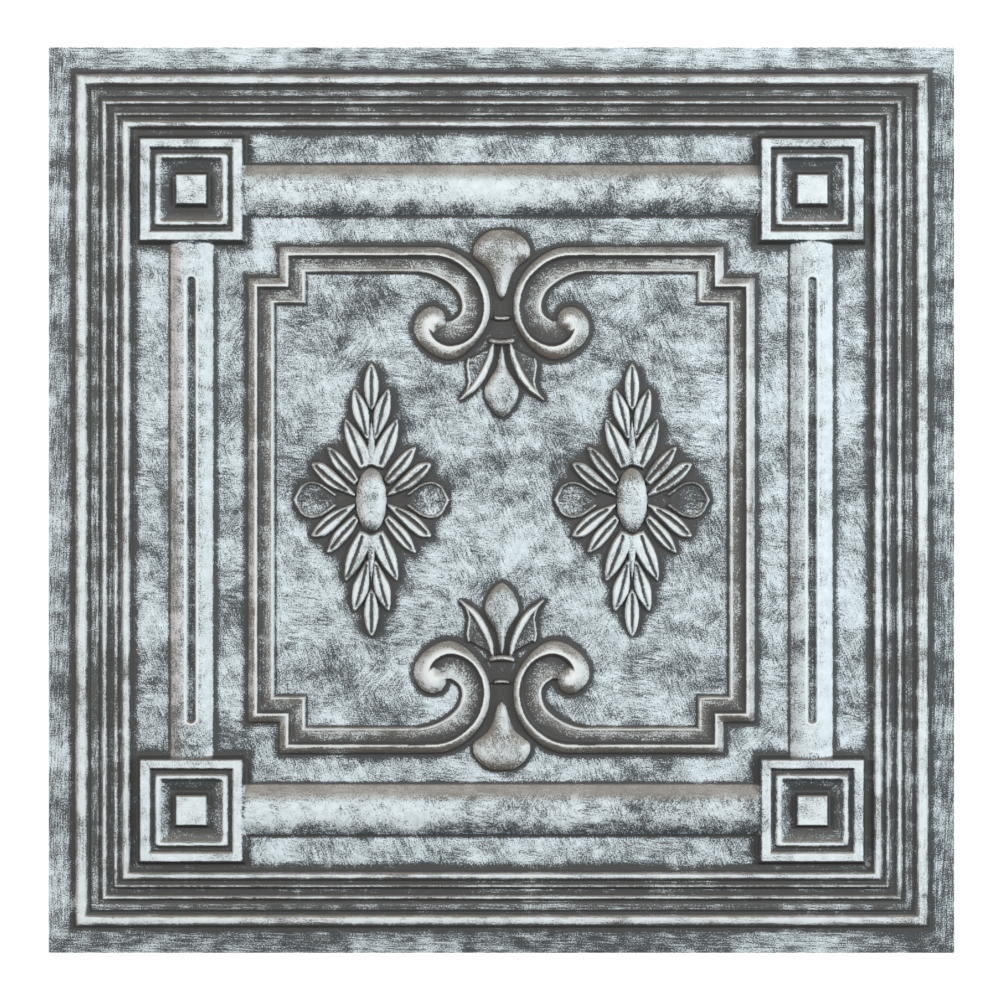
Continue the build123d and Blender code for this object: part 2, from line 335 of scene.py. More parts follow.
def block_section(dx, dy):
    """Height and touch of a corner block over its middle: its profile read at a square distance.

    The ring's corners are eased by a high power mean of the two distances.
    """
    dx, dy = np.abs(dx), np.abs(dy)
    eased = (dx**24 + dy**24) ** (1 / 24)
    square = np.maximum(dx, dy)
    ring = (square > 18.5) & (square < 25.5)
    place, height, touch = block_profile()
    read = np.where(ring, eased, square)
    return np.interp(read, place, height), np.interp(read, place, touch), square


# The scrolls and the fleur, on the right of the tile's upper middle. The left is its mirror.

SCROLL_CREST = [
    (72, 161.5), (62, 161.5), (50, 161.5), (43.8, 161.3), (36.2, 159.9), (28.6, 156.3), (21.8, 150.9),
    (16.7, 145.0), (13.4, 138.2), (11.6, 130.0), (11.8, 122.5), (14.2, 114.6), (19.3, 107.4), (26.0, 103.0),
    (32.8, 101.3), (38.9, 102.3), (43.8, 105.3), (46.9, 109.5), (48.2, 113.0),
]
BALL_CREST = [(48.2, 113.0), (47.8, 116.0), (45.6, 118.4), (43.4, 118.6)]
SCROLL_EDGE = [
    (72, 167.9), (62, 167.9), (50, 167.9), (43, 167.8), (36.2, 166.8), (27.7, 163.2), (20.1, 157.6),
    (15.0, 151.8), (10.0, 143.3), (7.5, 134.9), (7.0, 126.8), (7.9, 119.7), (10.2, 112.9), (14.2, 106.1),
    (20.1, 99.4), (26.0, 94.8), (32.8, 92.3), (39.6, 92.8), (46.3, 95.9), (52.2, 100.4), (56.6, 106.1),
    (58.6, 112.4), (57.8, 118.8), (54.6, 124.2), (49.8, 127.7), (44.6, 128.6), (39.6, 126.6), (36.7, 122.4),
    (36.2, 118.2),
]
BALL_EDGE = [(36.2, 118.2), (37.9, 114.6), (41.5, 112.2), (45.2, 110.2)]
RIDGE_LINE = [
    (72, 151.3), (62, 151.3), (54, 151.2), (47.2, 149.9), (41.0, 147.4), (34.3, 143.4), (28.6, 138.0),
    (25.8, 131.5), (25.4, 125.8), (28.0, 121.0), (32.6, 117.8),
]
RIDGE_EDGE = [
    (72, 149.9), (62, 149.9), (54, 149.8), (47.2, 148.4), (41.5, 146.1), (35.3, 142.4), (30.0, 137.3),
    (27.2, 131.5), (26.9, 126.2), (29.2, 122.0), (33.4, 118.9),
]
BULB = [
    (0, 179), (7.6, 178.0), (14.2, 173.8), (18.2, 168.3), (19.2, 163.0), (17.8, 159.2), (14.6, 156.8),
    (10.4, 153.6), (6.8, 148.4), (4.6, 141.6), (2.6, 135.2), (0, 131.5),
]
BUD = [
    (0, 101.6), (1.2, 100.6), (1.8, 95), (2.8, 90), (4.6, 85.6), (7.8, 80.8), (10.6, 76.0), (11.4, 71.8),
    (10.4, 66.2), (7.0, 59.8), (3.4, 56.0), (0, 54.1),
]
PETAL_RIM = [(6.0, 102.0), (7.6, 94.5), (10.9, 86.2), (14.8, 79.0), (19.6, 73.0), (27.0, 66.6)]
PETAL_EDGE = [(21.8, 93.6), (22.6, 88.4), (21.8, 82.5), (21.5, 77.4), (23.4, 71.8), (27.2, 66.4)]


def dome(gap, rise, reach):
    """Height over the foot of a rounded form: a quarter circle over the reach, then level."""
    return rise * np.sqrt(1 - (1 - np.clip(gap / reach, 0, 1)) ** 2)


def scroll_section(x, y):
    """Height and touch of the strip where it curls into a scroll and ends in a ball under its own turn."""
    crest, ball = through(SCROLL_CREST), through(BALL_CREST)
    edge, under = through(SCROLL_EDGE), through(BALL_EDGE)
    ridge, foot = through(RIDGE_LINE), through(RIDGE_EDGE)
    band = inside(x, y, np.vstack([edge, under, crest[::-1]]))
    channel = inside(x, y, np.vstack([edge, foot[::-1]])) & ~band
    edge_gap, under_gap = distance(x, y, edge), distance(x, y, under)
    crest_gap = np.minimum(distance(x, y, crest), distance(x, y, ball))
    gaps = edge_gap, crest_gap, distance(x, y, ridge), distance(x, y, foot)
    height, touch = strip_height(band, channel, *gaps), strip_touch(band, channel, *gaps)
    knob = swell(5.8, way(crest_gap, under_gap))
    return np.where(band & (under_gap < edge_gap), knob, height), touch


def fleur_section(x, y):
    """Height and touch of scroll, bulb, bud, rib, ties and side petals.

    Each is read at the distance from the axis, and the height is that of the highest of them.
    """
    x = np.abs(x)
    height, touch = scroll_section(x, y)
    bud = mirrored_depth(x, y, BUD)
    rim, outer = through(PETAL_RIM), through(PETAL_EDGE)
    well = depth(x, y, np.vstack([rim, outer[::-1]]))
    taper = np.interp(y, [66, 72, 80, 92, 103], [0.7, 2.0, 2.6, 2.1, 1.2])
    rises = [
        dome(mirrored_depth(x, y, BULB), 6.0, 13.0),
        dome(bud, 5.0, 9.0),
        3.6 * smooth_step(1.3 - distance(x, y, [(0, 101), (0, 84)]), 0, 1.2),
        np.minimum(1.5, 1.6 * well),
        dome(taper - distance(x, y, rim), 3.7, 1.5),
        dome(0.7 - distance(x, y, outer), 2.6, 0.6),
    ]
    for middle, half, thick, sag in ((120.6, 5.6, 1.5, 0.8), (105.6, 8.4, 2.1, 1.4)):
        drop = middle + sag * ((x / half) ** 2 - 1)
        reach = np.hypot(np.clip(x - half + thick, 0, None), y - drop)
        rises.append(dome(thick - reach, 3.9, 1.6))
    height = np.maximum(height, FIELD + np.maximum.reduce(rises))
    between = smooth_step(8.0 - x, 0, 2.0) * smooth_step(y, 97, 101) * smooth_step(136 - y, 0, 4)
    touch = np.where(bud > 0, -0.08, touch)
    touch = np.where((well > 0) & (height < FIELD + 1.6), -0.34, touch)
    touch = touch + 0.4 * (well > 0) * (height > FIELD + 2.0)
    return height, touch + BARE * between * (height < FIELD + 2.4)


def mirrored_depth(x, y, half_outline):
    """Depth inside an outline whose right half is given from its top to its bottom."""
    half = through(half_outline)
    gap = distance(x, y, half)
    outline = np.vstack([half, (half * (-1, 1))[::-1]])
    return np.where(inside(x, y, outline), gap, 0.0)


# The medallion's upper right quarter, from its own middle. The rest is its mirror. Each leaf,
# from the top one down, has its outline and its groove.

LEAVES = [
    ([(0, 58.5), (2.6, 62.5), (4.3, 69.0), (4.8, 76.0), (3.8, 83.0), (1.8, 88.3), (0, 90.6)],
     [(0, 62.5), (0.1, 74), (0, 87)]),
    ([(1.6, 40.0), (1.4, 50.0), (1.8, 59.3), (4.4, 65.6), (8.0, 70.4), (11.4, 73.6), (12.8, 68.0),
      (12.9, 62.0), (11.6, 55.0), (8.0, 47.8), (3.4, 40.0)],
     [(3.4, 43.6), (5.0, 50.8), (7.6, 61.6), (10.2, 70.0)]),
    ([(1.6, 22.0), (1.5, 31.5), (4.4, 38.6), (8.5, 45.4), (13.6, 50.9), (17.0, 53.6), (17.7, 47.0),
      (16.5, 38.0), (13.4, 29.4), (7.7, 20.0)],
     [(6.2, 24.6), (9.3, 33.8), (12.6, 42.3), (16.0, 50.6)]),
    ([(8.4, 13.2), (11.9, 20.4), (17.8, 28.0), (23.2, 32.8), (29.1, 35.2), (28.4, 30.6), (24.9, 22.2),
      (18.0, 14.9), (11.4, 9.4)],
     [(10.9, 13.6), (14.2, 17.4), (20.1, 23.9), (26.4, 32.2)]),
    ([(10.2, 3.8), (19.6, 14.2), (26.8, 21.0), (32.8, 24.8), (39.3, 24.2), (37.2, 18.4), (31.4, 11.6),
      (24.8, 7.2), (18.2, 4.7), (10.2, 1.8)],
     [(16.6, 6.4), (23.4, 10.8), (30.0, 16.1), (36.4, 22.0)]),
]
PETAL = [(24.5, 3.6), (29.6, 7.4), (34.4, 10.2), (40.1, 11.2), (45.5, 8.9), (48.4, 4.2), (50.6, 0)]
OVAL = (10.3, 21.6)


def medallion_section(x, y):
    """Height and touch of grooved leaves, a short stem, hollow side petals and a domed oval."""
    x, y = np.abs(x), np.abs(y)
    height, touch = np.full(x.shape, FIELD), np.zeros(x.shape)
    for outline, groove in LEAVES:
        outline = through(outline)
        if outline[0][0] == 0:
            outline = np.vstack([outline, (outline * (-1, 1))[::-1]])
        blade = FIELD + dome(depth(x, y, outline), 3.4, 1.5)
        cut = 1.4 * bell(distance(x, y, through(groove)), 1.0)
        height = np.maximum(height, blade - cut)
        touch = np.where(blade > FIELD + 1, 0.2 - 0.7 * cut, touch)
    stem_half = np.interp(y, [19, 24, 34, 47, 55], [0, 3.8, 3.0, 1.2, 0])
    rim = through(PETAL)
    well = depth(x, y, np.vstack([rim, (rim * (1, -1))[::-1]]))
    edge = dome(0.95 - distance(x, y, rim), 3.3, 0.8)
    rises = [dome(stem_half - x, 3.2, 2.2), np.minimum(1.3, 0.9 * well), edge]
    height = np.maximum(height, FIELD + np.maximum.reduce(rises))
    touch = np.where(well > 0.9, -0.22 - 0.4 * smooth_step(x, 36, 26), touch)
    vein = dome(0.6 - distance(x, y, [(43.5, 0), (49.5, 0)]), 1.0, 0.6)
    height = np.where(vein > 0, np.maximum(height, FIELD + 1.3 + vein), height)
    reach = np.hypot(x / OVAL[0], y / OVAL[1])
    oval = FIELD + 5.9 * np.sqrt(np.clip(1 - reach**2.2, 0, 1))
    return np.where(reach < 1.06, oval, height), np.where(reach < 1, 0.06, touch)


def touched(height, step, reach):
    """What a form's own relief adds to its touch, and the halo on the field beside it.

    More where it stands over its average within some 7 mm, and less where it lies under that within
    some 3 mm. The halo goes round the raised sheet, and its extra reach to the right is a painted shadow.
    """
    lift = np.clip(height - blurred(height, step, 3.5), -0.4, 1.6)
    hollow = np.clip(blurred(height, step, 1.4) - height, 0, 1.2)
    raised = smooth_step(height, FIELD + 0.3, FIELD + 1.2)
    spread = smooth_step(blurred(raised, step, reach / 2), 0.02, 0.3)
    near = blurred(np.maximum(raised, spread), step, reach / 4)
    # Painted shadow: the bare halo is carried 1.6 mm further to the right
    near = np.maximum(near, np.roll(near, round(1.6 / step), axis=1))
    return 0.1 * lift - 0.4 * hollow + BARE * near * (1 - raised)


def warmth(height):
    """Share of the glaze that stayed: none on the field, and all where the sheet is raised."""
    return smooth_step(height, FIELD, FIELD + 1.2)


# Meshes

def cell_middles(*lines):
    """How far the middle of each cell of a grid lies from the axes."""
    return np.meshgrid(*(np.abs(line[1:] + line[:-1]) / 2 for line in lines))


def ticks(places, counts):
    """Grid lines through the given places, with so many cells between each two."""
    spans = [np.linspace(a, b, n, endpoint=False) for a, b, n in zip(places[:-1], places[1:], counts)]
    return np.concatenate([*spans, places[-1:]])


def rim_edges(mask, wrap):
    """The sides of kept cells with no kept cell beyond them, in a cell's own turning direction.

    Each entry is the cells, the first corner and the step along the side, as rows and columns.
    """
    around = np.pad(mask, 1)
    if wrap:
        around[:, 0], around[:, -1] = around[:, -2], around[:, 1]
    beyond = {
        (0, 0, 0, 1): around[:-2, 1:-1],
        (0, 1, 1, 0): around[1:-1, 2:],
        (1, 1, 0, -1): around[2:, 1:-1],
        (1, 0, -1, 0): around[1:-1, :-2],
    }
    return [(np.argwhere(mask & ~other), side) for side, other in beyond.items()]


def sheet_faces(mask, skip, wrap):
    """Polygons of a closed thin sheet over a grid of kept cells.

    The front has a face for each cell. The back has one for each skip by skip cells, and the
    rim joins them, with the front's small edges and the back's long one in each of its faces.
    """
    rows, columns = mask.shape
    across = columns if wrap else columns + 1
    coarse = mask[::skip, ::skip]
    coarse_across = coarse.shape[1] if wrap else coarse.shape[1] + 1
    first_back = (rows + 1) * across

    def front(row, column):
        return row * across + column % across

    def back(row, column):
        return first_back + row * coarse_across + column % coarse_across

    i, j = np.nonzero(mask)
    faces = [np.stack([front(i, j), front(i, j + 1), front(i + 1, j + 1), front(i + 1, j)], axis=1)]
    i, j = np.nonzero(coarse)
    faces.append(np.stack([back(i, j), back(i + 1, j), back(i + 1, j + 1), back(i, j + 1)], axis=1))
    for cells, (di, dj, si, sj) in rim_edges(coarse, wrap):
        i, j = cells[:, 0] + di, cells[:, 1] + dj
        small = [front(i * skip + si * t, j * skip + sj * t) for t in range(skip, -1, -1)]
        faces.append(np.stack([*small, back(i, j), back(i + si, j + sj)], axis=1))
    return faces


def lowest_near(height, skip, wrap):
    """The lowest front height around each back corner, so that the back never comes through."""
    if skip == 1:
        return height
    wide = np.pad(height, skip, mode="edge")
    for axis, count in enumerate(height.shape):
        wide = np.min([np.take(wide, range(i, i + count), axis=axis) for i in range(2 * skip + 1)], axis=0)
    return wide[::skip, ::skip]


def add_sheet(name, x, y, height, touch, stroke=SWIRLS, mask=None, skip=1, wrap=False, warm=0.0):
    """Put one closed thin sheet into the scene, from arrays of places and heights in millimetres.

    The faces are turned round where the grid's area in plan is above 0.
    """
    thick = bpy.context.scene.ceiling_tile_sheet.thickness / MM
    rows, columns = height.shape
    if mask is None:
        mask = np.ones((rows - 1, columns if wrap else columns - 1), bool)
    down_x, down_y = x[1:, 1] - x[:-1, 1], y[1:, 1] - y[:-1, 1]
    turn = np.sum(down_x * (y[1:, 1] - y[1:, 0]) - down_y * (x[1:, 1] - x[1:, 0]))
    faces = sheet_faces(mask, skip, wrap)
    if turn > 0:
        faces = [part[:, ::-1] for part in faces]

    low = lowest_near(height, skip, wrap) - thick
    thin = (slice(None, None, skip), slice(None, None, skip))
    points = np.concatenate([
        np.stack([x, y, height], axis=-1).reshape(-1, 3),
        np.stack([x[thin], y[thin], low], axis=-1).reshape(-1, 3),
    ])
    loops = np.concatenate([part.ravel() for part in faces])
    used, loops = np.unique(loops, return_inverse=True)
    sizes = np.concatenate([np.full(len(part), part.shape[1]) for part in faces])
    starts = np.concatenate([[0], np.cumsum(sizes)[:-1]])

    mesh = bpy.data.meshes.new(name)
    mesh.vertices.add(len(used))
    mesh.vertices.foreach_set("co", (points[used] * MM).astype(np.float32).ravel())
    mesh.loops.add(len(loops))
    mesh.loops.foreach_set("vertex_index", loops.astype(np.int32).ravel())
    mesh.polygons.add(len(sizes))
    mesh.polygons.foreach_set("loop_start", starts.astype(np.int32))
    mesh.update(calc_edges=True)
    if mesh.validate():
        raise RuntimeError(f"{name} has faces that had to be mended")
    values = {"touch": (touch, touch), "stroke": (stroke, stroke), "warm": (warm, 0.0), "front": (1.0, 0.0)}
    for key, sides in values.items():
        front, back = (np.broadcast_to(side, height.shape) for side in sides)
        value = np.concatenate([front.ravel(), back[thin].ravel()])[used]
        mesh.attributes.new(key, "FLOAT", "POINT").data.foreach_set("value", value.astype(np.float32))
    mesh.polygons.foreach_set("use_smooth", np.ones(len(sizes), bool))
    mesh.set_sharp_from_angle(angle=math.radians(75))
    mesh.materials.append(dry_brushed_pvc())

    piece = bpy.data.objects.new(name, mesh)
    bpy.context.scene.collection.objects.link(piece)
    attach(piece, "root")
    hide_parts(NODE)


# Materials

def linear(hex_colour):
    """An sRGB hex colour as linear red, green, blue and full alpha."""
    parts = [int(hex_colour[i:i + 2], 16) / 255 for i in (1, 3, 5)]
    return [part / 12.92 if part <= 0.04045 else ((part + 0.055) / 1.055) ** 2.4 for part in parts] + [1.0]


def add_node(tree, kind, *values, named=None, **settings):
    """Add a node with its settings and fill its inputs, the first ones in order and others by name.

    A node is linked from its first output in use, a socket is linked, and anything else is set.
    """
    made = tree.nodes.new("ShaderNode" + kind)
    for key, value in settings.items():
        setattr(made, key, value)
    for key, value in {**dict(enumerate(values)), **(named or {})}.items():
        if isinstance(value, bpy.types.Node):
            value = next(socket for socket in value.outputs if socket.enabled)
        if isinstance(value, bpy.types.NodeSocket):
            tree.links.new(value, made.inputs[key])
        else:
            made.inputs[key].default_value = value
    return made


def new_material(name):
    """An empty node material, and the way to add nodes to it."""
    material = bpy.data.materials.new(name)
    material.use_nodes = True
    material.node_tree.nodes.clear()
    return material, functools.partial(add_node, material.node_tree)


def dry_brushed_pvc():
    """Vacuum-formed PVC in charcoal with a pebble grain, dry-brushed by hand in antique silver.

    The brush runs over the grain's tops, so thin paint shows as specks, thick paint as white
    with dark pits, and hollows stay bare. A warm brown glaze was wiped over it and stays on the
    raised forms. Slopes that face right take more silver, a painted highlight, and those that face
    the bottom, top and left take less, painted shade. On slopes that face the top lies a painted
    warm light, and on those that face left a painted pinkish light.
    """
    name = "dry_brushed_vacuum_formed_pvc"
    if name in bpy.data.materials:
        return bpy.data.materials[name]
    finish = bpy.context.scene.ceiling_tile_finish
    material, node = new_material(name)
    place = node("TexCoord").outputs["Object"]
    touch, stroke, front, warm = (
        node("Attribute", attribute_name=key).outputs["Fac"] for key in ("touch", "stroke", "front", "warm"))

    def marks(long, wide, detail, roughness, shift=0.0, turn=0):
        """Noise with marks so many millimetres long and wide, moved to its own part and turned by degrees."""
        scale = (1 / (long * MM), 1 / (wide * MM), 1 / (min(long, wide) * MM))
        turned = node("Mapping", place, named={"Rotation": (0, 0, math.radians(turn))})
        sized = node("Mapping", turned, named={"Location": (shift, shift, shift), "Scale": scale})
        return node("TexNoise", sized, named={"Scale": 1.0, "Detail": detail, "Roughness": roughness})

    # How far a slope faces the tile's top, bottom, left and right: 0 on level sheet and 1 when steep
    facing = node("SeparateXYZ", node("NewGeometry").outputs["Normal"]).outputs
    to_top, to_bottom, to_left, to_right = (
        node("Math", facing[axis], steep, start, operation="MULTIPLY_ADD", use_clamp=True)
        for axis, steep, start in (("Y", 4.5, -0.75), ("Y", -3.0, -0.5), ("X", -4.0, -0.9), ("X", 3.0, -0.5)))

    # The pebbles, and how full the brush was, its single passes and how hard it was pressed on
    grain = marks(finish.grain / MM, finish.grain / MM, 3.0, 0.65)
    blotch = marks(60.0, 46.0, 3.0, 0.5, 5.0)
    sweep = marks(13.0, 10.0, 2.0, 0.55, 31.0)
    press = marks(9.0, 8.0, 2.0, 0.6, 71.0)

    # Its streaks: swirls in three directions, by region, and long ones on straight runs
    streak, *turned_streaks = (marks(7.0, 1.1, 2.0, 0.6, 11.0 + turn, turn) for turn in (8, 68, 128))
    region = marks(38.0, 34.0, 1.0, 0.5, 47.0)
    along_x, along_y = marks(16.0, 1.0, 2.0, 0.6, 11.0, 2), marks(1.0, 16.0, 2.0, 0.6, 23.0, 2)
    is_along_y = node("Math", stroke, SWIRLS, operation="GREATER_THAN")
    long_streak = node("Mix", is_along_y, named={6: along_x, 7: along_y}, data_type="RGBA")
    off_swirls = node("Math", node("Math", stroke, SWIRLS, operation="SUBTRACT"), operation="ABSOLUTE")
    shares = [
        node("Math", part, weight, start, operation="MULTIPLY_ADD", use_clamp=True)
        for part, weight, start in ((region, 7.0, -2.6), (region, 7.0, -4.0), (off_swirls, 0.6, 0.0))]
    for share, other in zip(shares, (*turned_streaks, long_streak)):
        streak = node("Mix", share, named={6: streak, 7: other}, data_type="RGBA")

    # How much paint a place takes. The noises lie around a half, so half their weights come off.
    blotches, sweeps, streaks, pebbles = 1.2, 1.15, 1.35, 3.0
    hollow = node("Math", touch, -1.3, operation="MULTIPLY", use_clamp=True)
    out_of_hollows = node("Math", 1.0, hollow, operation="SUBTRACT")
    painted_highlight_right = node("Math", to_right, out_of_hollows, operation="MULTIPLY")
    pressed = node("Math", press, 1.7, 0.15, operation="MULTIPLY_ADD")
    cover = node("Math", touch, pressed, finish.cover - (blotches + sweeps) / 2, operation="MULTIPLY_ADD")
    # Painted light and shade by slope: more silver on slopes facing right as a painted highlight, less on
    # those facing the bottom, top and left as painted shade
    slopes = ((painted_highlight_right, 0.34), (to_bottom, -0.5), (to_top, -0.3), (to_left, -0.12))
    for part, weight in ((blotch, blotches), (sweep, sweeps), *slopes):
        cover = node("Math", part, weight, cover, operation="MULTIPLY_ADD")

    # Streaks and pebbles break the paint up where it is thin, and it ends sharply between them
    mark = node("Math", grain, pebbles, -(pebbles + streaks) / 2, operation="MULTIPLY_ADD")
    mark = node("Math", streak, streaks, mark, operation="MULTIPLY_ADD")
    thin = node("Math", touch, -1.1, 1.0, operation="MULTIPLY_ADD", use_clamp=True)
    amount = node("Math", mark, thin, cover, operation="MULTIPLY_ADD")
    paint = node("Math", node("MapRange", amount, 0.52, 1.0, 0.0, 0.96), front, operation="MULTIPLY")

    # Painted warm light on slopes that face the top, and painted pinkish light on those that face left,
    # strongest on the tile's left side; both stay off the hollows and are mottled on the warm forms
    kept = node("Math", sweep, 0.95, operation="SUBTRACT")
    kept = node("Math", warm, kept, 1.0, operation="MULTIPLY_ADD")
    kept = node("Math", out_of_hollows, kept, operation="MULTIPLY")
    painted_warm_light = node("Math", to_top, kept, operation="MULTIPLY")
    across = node("SeparateXYZ", place).outputs["X"]
    pinkish_light_falloff = node("Math", across, -1.8, 0.62, operation="MULTIPLY_ADD", use_clamp=True)
    painted_pinkish_light = node("Math", node("Math", to_left, pinkish_light_falloff, operation="MULTIPLY"), kept, operation="MULTIPLY")

    # Paint and plastic: each a first colour, then coats that cover the product of two numbers
    tone = node("Math", marks(6.0, 5.0, 3.0, 0.6, 3.0), 1.2, -0.1, operation="MULTIPLY_ADD", use_clamp=True)
    cream = node("Mix", tone, named={6: finish.tan_glaze_and_painted_light, 7: finish.cream_paint}, data_type="RGBA")
    # Strength of the painted warm and pinkish light on bare plastic, varied by the tone
    painted_warm_light_strength = node("Math", tone, 0.5, 0.45, operation="MULTIPLY_ADD")
    painted_pinkish_light_strength = node("Math", tone, 0.7, operation="MULTIPLY")
    # The coats over slopes that face the top and left are painted light, on the silver and on the bare
    # plastic alike
    stacks = (
        (finish.shade_paint, (tone, 1.0, finish.paint), (warm, 0.35, cream), (touch, 1.2, finish.crest_paint),
         (painted_warm_light, 0.85, finish.tan_glaze_and_painted_light), (painted_pinkish_light, 0.7, finish.painted_pinkish_light_colour)),
        (finish.plastic, (tone, 1.0, finish.dusty_plastic), (warm, out_of_hollows, finish.worn_glaze),
         (painted_warm_light, painted_warm_light_strength, finish.tan_glaze_and_painted_light), (painted_pinkish_light, painted_pinkish_light_strength, finish.tan_glaze_and_painted_light),
         (hollow, 1.0, finish.brown_glaze)),
    )
    layers = []
    for colour, *coats in stacks:
        for where, part, coat in coats:
            share = node("Math", where, part, operation="MULTIPLY", use_clamp=True)
            colour = node("Mix", share, named={6: colour, 7: coat}, data_type="RGBA")
        layers.append(colour)
    silver, plastic = layers

    relief = node("Math", grain, front, operation="MULTIPLY")
    relief = node("Math", paint, 0.5, relief, operation="MULTIPLY_ADD")
    surface = node("BsdfPrincipled", named={
        "Base Color": node("Mix", paint, named={6: plastic, 7: silver}, data_type="RGBA"),
        "Roughness": node("Math", paint, 0.1, 0.58, operation="MULTIPLY_ADD"),
        "IOR": 1.54,
        "Normal": node("Bump", named={"Height": relief, "Distance": 0.35 * MM, "Strength": 0.8}),
    })
    node("OutputMaterial", surface)
    return material


def pale_floor():
    """Matt white board. The camera and reflections see it a little lighter, so it reads as white."""
    stage = bpy.context.scene.ceiling_tile_stage
    material, node = new_material("matt_white_board")
    ray = node("LightPath").outputs
    mirrored = node("Math", ray["Is Glossy Ray"], ray["Is Transmission Ray"], operation="MAXIMUM")
    seen = node("Math", ray["Is Camera Ray"], mirrored, operation="MAXIMUM")
    surface = node("BsdfPrincipled", named={
        "Base Color": stage.floor_colour, "Roughness": 0.9, "Emission Color": (1, 1, 1, 1),
        "Emission Strength": node("Math", seen, stage.floor_lift, operation="MULTIPLY"),
    })
    node("OutputMaterial", surface)
    return material


# Settings

def swatch(name, description, hex_colour):
    """A colour setting whose default is an sRGB hex value."""
    return bpy.props.FloatVectorProperty(
        name=name, description=description, size=4, subtype="COLOR", default=linear(hex_colour))


class CeilingTileSheetSettings(bpy.types.PropertyGroup):
    thickness: bpy.props.FloatProperty(
        name="Sheet thickness", description="Thickness of the formed sheet", default=SHEET * MM,
        min=0.0002, max=0.002, unit="LENGTH")


class CeilingTileFinishSettings(bpy.types.PropertyGroup):
    plastic: swatch("Plastic", "Bare sheet in the hollows", "#2b3033")
    dusty_plastic: swatch("Worn plastic", "Bare sheet that the brush has dulled", "#3e474a")
    paint: swatch("Silver paint", "Dry-brushed paint", "#e4f1f7")
    shade_paint: swatch("Thin paint", "Paint where it lies thin", "#b5c2c7")
    worn_glaze: swatch("Worn glaze", "Glaze rubbed thin on the frame and scrolls", "#605a52")
    brown_glaze: swatch("Brown glaze", "Glaze that stayed in the hollows", "#383938")
    cream_paint: swatch("Cream paint", "Glazed paint on the frame and scrolls", "#cbcac2")
    # The tan colour is the glaze's on the raised forms and also painted warm light on slopes that face the
    # tile's top and on bare plastic facing left; the rosy colour is painted pinkish light on silver slopes
    # that face left
    tan_glaze_and_painted_light: swatch("Tan glaze", "Paint on slopes that face the tile's top", "#969087")
    painted_pinkish_light_colour: swatch("Rosy glaze", "Paint on slopes that face left", "#beb5b1")
    crest_paint: swatch("Crest paint", "Paint on edges and crests", "#dfe5e3")
    cover: bpy.props.FloatProperty(
        name="Cover", description="Share of the field that the brush covers", default=0.83, min=0.0, max=1.0,
        subtype="FACTOR")
    # The photo shows nothing finer than its pixel of 0.66 mm, so the pebbles are drawn that coarse
    grain: bpy.props.FloatProperty(
        name="Grain", description="Size of the sheet's pebbles", default=0.82 * MM, min=0.0005, max=0.01,
        unit="LENGTH")


class CeilingTileStageSettings(bpy.types.PropertyGroup):
    camera_height: bpy.props.FloatProperty(
        name="Camera height", description="Camera above the flange", default=1.5, min=0.5, max=5.0,
        unit="LENGTH")
    frame_width: bpy.props.FloatProperty(
        name="Frame width", description="Width that the picture takes in at the flange", default=0.6626,
        min=0.1, max=5.0, unit="LENGTH")
    floor_colour: swatch("Floor", "Colour of the floor", "#f7f7f7")
    floor_lift: bpy.props.FloatProperty(
        name="Floor lift", description="How much lighter the camera sees the floor", default=0.35, min=0.0,
        max=1.0, subtype="FACTOR")


# Operators

class CEILINGTILE_OT_border(bpy.types.Operator):
    """Flange and mouldings, one profile carried round the tile with mitred corners"""

    bl_idname = "ceiling_tile.border"
    bl_label = "Border"

    def execute(self, context):
        fine, *profile = border_profile()
        across = ticks([0, HALF - BORDER_FOOT - 1, HALF - BORDER_END], [10, 108])
        along = np.linspace(-1, 1, 41)[:-1]
        share, level = np.meshgrid(along, HALF - across)
        run = level * share
        x = np.hstack([-run, -level, run, level])
        y = np.hstack([level, -run, -level, run])
        stroke = np.repeat([-1.2, 2.2, -1.2, 2.2], len(along))
        piled = [np.interp(across, fine, values)[:, None] + np.zeros(x.shape) for values in profile]
        # The flange kept most paint on the tile's top side, less left and right, and least below
        on_flange = np.hstack([level] * 4) > BORDER_FOOT + 1
        piled[1] = piled[1] + on_flange * np.repeat([0.12, 0.0, -0.16, -0.1], len(along))
        add_sheet("border_mouldings", x, y, *piled, stroke, wrap=True, warm=0.45 * ~on_flange)
        return {"FINISHED"}


class CEILINGTILE_OT_blocks(bpy.types.Operator):
    """Four corner blocks with the ends of the bars that run against them"""

    bl_idname = "ceiling_tile.blocks"
    bl_label = "Corner blocks"

    def execute(self, context):
        place = np.linspace(BLOCK_IN, BLOCK_OUT, 133)
        x, y = np.meshgrid(place, place)
        block, touch, square = block_section(x - ROW, y - ROW)
        # Painted shadow: a bar's top is left half bare for some 2 mm where it runs against the block
        outside, end = square > BLOCK_EDGE, 0.5 * beside(square - BLOCK_EDGE, 2.2)
        for across, along, half in ((y, x, BAR_HALF), (x, y, SLOTTED_HALF)):
            run = outside & (along < ROW) & (np.abs(across - ROW) < half)
            block = np.where(run, np.maximum(block, bar_height(across - ROW, half)), block)
            touch = np.where(run, bar_touch(across - ROW, half) + end, touch)
        on_field = (block < FIELD + 0.01) & (square > BLOCK_FOOT)
        height = blurred(block, BLOCK_PITCH)
        for side_x, word_x in SIDEWAYS:
            worn = blurred(np.where(on_field, open_touch(x * side_x, y), touch), BLOCK_PITCH)
            for side_y, word_y in UPRIGHT:
                add_sheet(f"corner_block_{word_y}_{word_x}", x * side_x, y * side_y, height, worn, skip=3)
        return {"FINISHED"}


